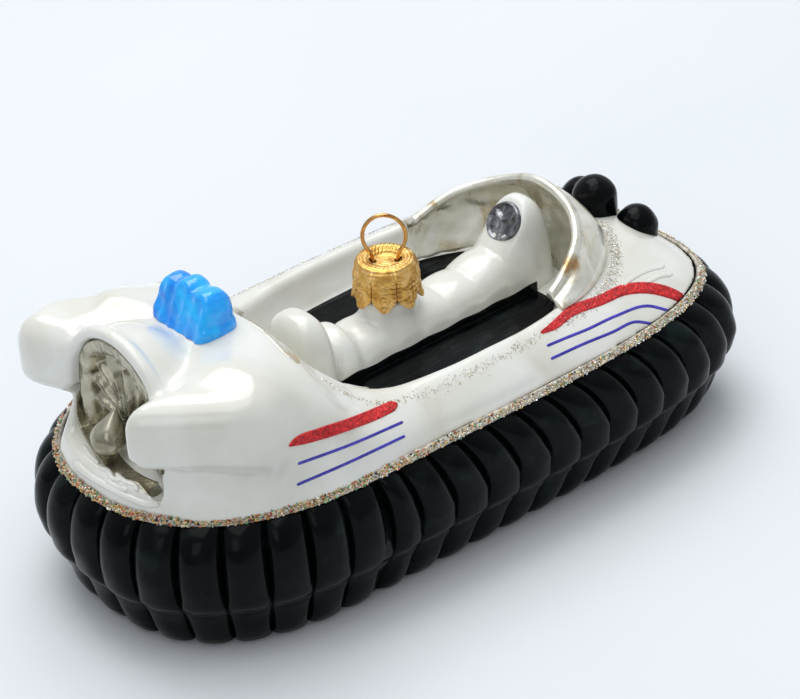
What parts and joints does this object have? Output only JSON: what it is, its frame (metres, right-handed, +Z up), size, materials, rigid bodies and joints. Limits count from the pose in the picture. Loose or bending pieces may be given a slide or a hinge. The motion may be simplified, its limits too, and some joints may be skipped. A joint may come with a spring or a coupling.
{
  "type": "glass hovercraft ornament",
  "caption": "Hanging glass ornament shaped as a small open hovercraft, with a lobed skirt, a cockpit, a crown cap and a wire hanger.",
  "frame": {"origin": "on the ground, under the middle of the skirt's outline", "axes": "+X to the bow, +Y to port, +Z up"},
  "size_m": [0.1498, 0.0784, 0.0631],
  "materials": {
    "pearl_glaze": "milky pearl-white lacquer over silvered glass, glossy",
    "black_glaze": "glossy black lacquer on glass",
    "silvered_glass": "antique warm silver mirror",
    "blue_glaze": "glossy translucent azure lacquer",
    "pewter_glaze": "dark pewter lacquer",
    "clear_glass": "bare glass",
    "gold_cap": "embossed gold-coloured thin metal",
    "hanger_wire": "bright copper-gold wire"
  },
  "bodies": {
    "glass_body": {"skirt": "black_glaze", "hull": "pearl_glaze", "stern_shoulder_port": "pearl_glaze", "stern_shoulder_starboard": "pearl_glaze", "duct_hood": "pearl_glaze", "duct_lining": "silvered_glass", "fan": "silvered_glass", "beacon": "blue_glaze", "floor_port": "black_glaze", "floor_starboard": "black_glaze", "seat_spine": "pearl_glaze", "seat_roll": "pearl_glaze", "seat_backrest": "pearl_glaze", "steering_post": "pearl_glaze", "steering_wheel": "pewter_glaze", "windscreen": "silvered_glass", "bow_dome_centre": "black_glaze", "bow_dome_port": "black_glaze", "bow_dome_starboard": "black_glaze", "neck": "clear_glass"},
    "cap": {"cap": "gold_cap"},
    "hanger": {"hanger": "hanger_wire"}
  },
  "joints": [
    {"name": "cap_pull", "type": "slide", "parent": "glass_body", "child": "cap", "axis": [0, 0, 1], "range_m": [0, 0.018]},
    {"name": "hanger_tilt", "type": "hinge", "parent": "cap", "child": "hanger", "pos_m": [0.0027, 0, 0.0473], "axis": [0.7581, -0.6521, 0], "range_deg": [-12, 12]}
  ]
}
